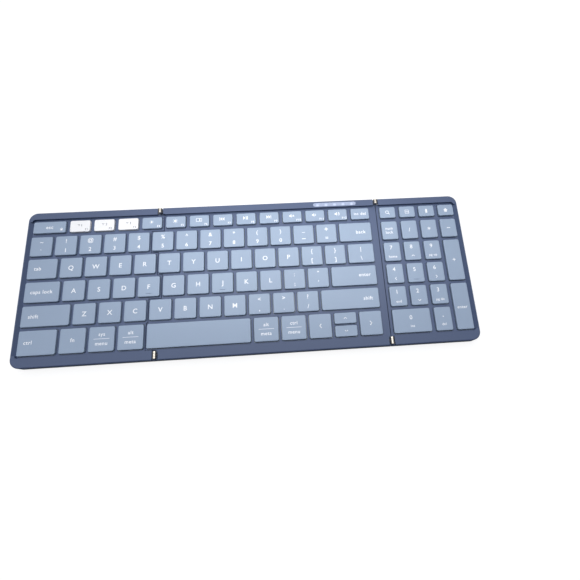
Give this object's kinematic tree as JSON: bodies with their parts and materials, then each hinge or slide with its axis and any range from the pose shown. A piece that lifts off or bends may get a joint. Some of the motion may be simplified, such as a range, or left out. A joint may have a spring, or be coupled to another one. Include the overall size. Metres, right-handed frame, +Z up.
{
  "type": "folding keyboard",
  "caption": "Thin full-size wireless keyboard in slate blue whose left panel and number pad fold over onto the middle panel on barrel hinges.",
  "frame": {"origin": "middle of the opened-out keyboard's footprint, on the surface that its feet stand on", "axes": "+X along the key rows towards the number pad, +Y towards the back edge, +Z up out of the keys"},
  "size_m": [0.3542, 0.1252, 0.0109],
  "materials": {
    "casing": "fine matt texture, slate blue",
    "blue_keycap": "smooth matt, light grey-blue",
    "white_keycap": "smooth matt, white",
    "plate_steel": "stamped sheet",
    "screw_steel": "plain",
    "hinge_metal": "polished, champagne tint",
    "membrane": "printed film",
    "dome_rubber": "moulded silicone",
    "scissor_plastic": "moulded",
    "foot_rubber": "matt",
    "circuit_board": "solder mask",
    "battery_foil": "laminated foil",
    "socket_steel": "drawn shell",
    "window_plastic": "milky, lets the lights through",
    "ribbon_film": "amber film"
  },
  "bodies": {
    "centre_panel": {"centre_top_frame": "casing", "centre_bottom_cover": "casing", "centre_key_plate": "plate_steel", "centre_membrane": "membrane", "centre_rubber_domes": "dome_rubber", "centre_scissors": "scissor_plastic", "centre_feet": "foot_rubber", "centre_screws": "screw_steel", "circuit_board": "circuit_board", "battery": "battery_foil", "charging_socket": "socket_steel", "indicator_window": "window_plastic", "centre_hinge_leaves": "hinge_metal", "hinge_pins": "screw_steel", "left_ribbon": "ribbon_film", "right_ribbon": "ribbon_film"},
    "left_panel": {"left_top_frame": "casing", "left_bottom_cover": "casing", "left_key_plate": "plate_steel", "left_membrane": "membrane", "left_rubber_domes": "dome_rubber", "left_scissors": "scissor_plastic", "left_feet": "foot_rubber", "left_screws": "screw_steel", "left_hinge_leaves": "hinge_metal"},
    "right_panel": {"right_top_frame": "casing", "right_bottom_cover": "casing", "right_key_plate": "plate_steel", "right_membrane": "membrane", "right_rubber_domes": "dome_rubber", "right_scissors": "scissor_plastic", "right_feet": "foot_rubber", "right_screws": "screw_steel", "right_hinge_leaves": "hinge_metal"},
    "esc_and_f4_caps": {"esc_and_f4_keys": "blue_keycap"},
    "device_caps": {"device_keys": "white_keycap"},
    "left_number_caps": {"left_number_keys": "blue_keycap"},
    "tab_caps": {"tab_key": "blue_keycap"},
    "left_upper_letter_caps": {"left_upper_letter_keys": "blue_keycap"},
    "caps_lock_caps": {"caps_lock_key": "blue_keycap"},
    "left_home_letter_caps": {"left_home_letter_keys": "blue_keycap"},
    "left_shift_caps": {"left_shift_key": "blue_keycap"},
    "left_lower_letter_caps": {"left_lower_letter_keys": "blue_keycap"},
    "left_modifier_caps": {"left_modifier_keys": "blue_keycap"},
    "function_caps": {"function_keys": "blue_keycap"},
    "number_caps": {"number_keys": "blue_keycap"},
    "backspace_caps": {"backspace_key": "blue_keycap"},
    "upper_letter_caps": {"upper_letter_keys": "blue_keycap"},
    "backslash_caps": {"backslash_key": "blue_keycap"},
    "home_letter_caps": {"home_letter_keys": "blue_keycap"},
    "enter_caps": {"enter_key": "blue_keycap"},
    "lower_letter_caps": {"lower_letter_keys": "blue_keycap"},
    "right_shift_caps": {"right_shift_key": "blue_keycap"},
    "space_bar_caps": {"space_bar": "blue_keycap"},
    "right_modifier_caps": {"right_modifier_keys": "blue_keycap"},
    "arrow_caps": {"arrow_keys": "blue_keycap"},
    "numpad_top_caps": {"numpad_top_keys": "blue_keycap"},
    "numpad_digit_caps": {"numpad_digit_keys": "blue_keycap"},
    "numpad_zero_and_point_caps": {"numpad_zero_and_point_keys": "blue_keycap"},
    "numpad_tall_caps": {"numpad_tall_keys": "blue_keycap"}
  },
  "joints": [
    {"name": "left_fold", "type": "hinge", "parent": "centre_panel", "child": "left_panel", "pos_m": [-0.07263, 0, 0.00915], "axis": [0, 1, 0], "range_deg": [0, 180], "deforming": ["left_ribbon"]},
    {"name": "right_fold", "type": "hinge", "parent": "centre_panel", "child": "right_panel", "pos_m": [0.10683, 0, 0.00915], "axis": [0, -1, 0], "range_deg": [0, 180], "deforming": ["right_ribbon"]},
    {"name": "esc_and_f4_press", "type": "slide", "parent": "left_panel", "child": "esc_and_f4_caps", "axis": [0, 0, -1], "range_m": [0, 0.0015], "stiffness_N_per_m": 600, "deforming": ["left_rubber_domes", "left_scissors"]},
    {"name": "device_press", "type": "slide", "parent": "left_panel", "child": "device_caps", "axis": [0, 0, -1], "range_m": [0, 0.0015], "stiffness_N_per_m": 900},
    {"name": "left_number_press", "type": "slide", "parent": "left_panel", "child": "left_number_caps", "axis": [0, 0, -1], "range_m": [0, 0.0015], "stiffness_N_per_m": 1500},
    {"name": "tab_press", "type": "slide", "parent": "left_panel", "child": "tab_caps", "axis": [0, 0, -1], "range_m": [0, 0.0015], "stiffness_N_per_m": 300},
    {"name": "left_upper_letter_press", "type": "slide", "parent": "left_panel", "child": "left_upper_letter_caps", "axis": [0, 0, -1], "range_m": [0, 0.0015], "stiffness_N_per_m": 1200},
    {"name": "caps_lock_press", "type": "slide", "parent": "left_panel", "child": "caps_lock_caps", "axis": [0, 0, -1], "range_m": [0, 0.0015], "stiffness_N_per_m": 300},
    {"name": "left_home_letter_press", "type": "slide", "parent": "left_panel", "child": "left_home_letter_caps", "axis": [0, 0, -1], "range_m": [0, 0.0015], "stiffness_N_per_m": 1200},
    {"name": "left_shift_press", "type": "slide", "parent": "left_panel", "child": "left_shift_caps", "axis": [0, 0, -1], "range_m": [0, 0.0015], "stiffness_N_per_m": 300},
    {"name": "left_lower_letter_press", "type": "slide", "parent": "left_panel", "child": "left_lower_letter_caps", "axis": [0, 0, -1], "range_m": [0, 0.0015], "stiffness_N_per_m": 900},
    {"name": "left_modifier_press", "type": "slide", "parent": "left_panel", "child": "left_modifier_caps", "axis": [0, 0, -1], "range_m": [0, 0.0015], "stiffness_N_per_m": 1200},
    {"name": "function_press", "type": "slide", "parent": "centre_panel", "child": "function_caps", "axis": [0, 0, -1], "range_m": [0, 0.0015], "stiffness_N_per_m": 2700, "deforming": ["centre_rubber_domes", "centre_scissors"]},
    {"name": "number_press", "type": "slide", "parent": "centre_panel", "child": "number_caps", "axis": [0, 0, -1], "range_m": [0, 0.0015], "stiffness_N_per_m": 2400},
    {"name": "backspace_press", "type": "slide", "parent": "centre_panel", "child": "backspace_caps", "axis": [0, 0, -1], "range_m": [0, 0.0015], "stiffness_N_per_m": 300},
    {"name": "upper_letter_press", "type": "slide", "parent": "centre_panel", "child": "upper_letter_caps", "axis": [0, 0, -1], "range_m": [0, 0.0015], "stiffness_N_per_m": 2400},
    {"name": "backslash_press", "type": "slide", "parent": "centre_panel", "child": "backslash_caps", "axis": [0, 0, -1], "range_m": [0, 0.0015], "stiffness_N_per_m": 300},
    {"name": "home_letter_press", "type": "slide", "parent": "centre_panel", "child": "home_letter_caps", "axis": [0, 0, -1], "range_m": [0, 0.0015], "stiffness_N_per_m": 2100},
    {"name": "enter_press", "type": "slide", "parent": "centre_panel", "child": "enter_caps", "axis": [0, 0, -1], "range_m": [0, 0.0015], "stiffness_N_per_m": 300},
    {"name": "lower_letter_press", "type": "slide", "parent": "centre_panel", "child": "lower_letter_caps", "axis": [0, 0, -1], "range_m": [0, 0.0015], "stiffness_N_per_m": 2100},
    {"name": "right_shift_press", "type": "slide", "parent": "centre_panel", "child": "right_shift_caps", "axis": [0, 0, -1], "range_m": [0, 0.0015], "stiffness_N_per_m": 300},
    {"name": "space_bar_press", "type": "slide", "parent": "centre_panel", "child": "space_bar_caps", "axis": [0, 0, -1], "range_m": [0, 0.0015], "stiffness_N_per_m": 300},
    {"name": "right_modifier_press", "type": "slide", "parent": "centre_panel", "child": "right_modifier_caps", "axis": [0, 0, -1], "range_m": [0, 0.0015], "stiffness_N_per_m": 600},
    {"name": "arrow_press", "type": "slide", "parent": "centre_panel", "child": "arrow_caps", "axis": [0, 0, -1], "range_m": [0, 0.0015], "stiffness_N_per_m": 1200},
    {"name": "numpad_top_press", "type": "slide", "parent": "right_panel", "child": "numpad_top_caps", "axis": [0, 0, -1], "range_m": [0, 0.0015], "stiffness_N_per_m": 2400, "deforming": ["right_rubber_domes", "right_scissors"]},
    {"name": "numpad_digit_press", "type": "slide", "parent": "right_panel", "child": "numpad_digit_caps", "axis": [0, 0, -1], "range_m": [0, 0.0015], "stiffness_N_per_m": 2700},
    {"name": "numpad_zero_and_point_press", "type": "slide", "parent": "right_panel", "child": "numpad_zero_and_point_caps", "axis": [0, 0, -1], "range_m": [0, 0.0015], "stiffness_N_per_m": 600},
    {"name": "numpad_tall_press", "type": "slide", "parent": "right_panel", "child": "numpad_tall_caps", "axis": [0, 0, -1], "range_m": [0, 0.0015], "stiffness_N_per_m": 600}
  ]
}
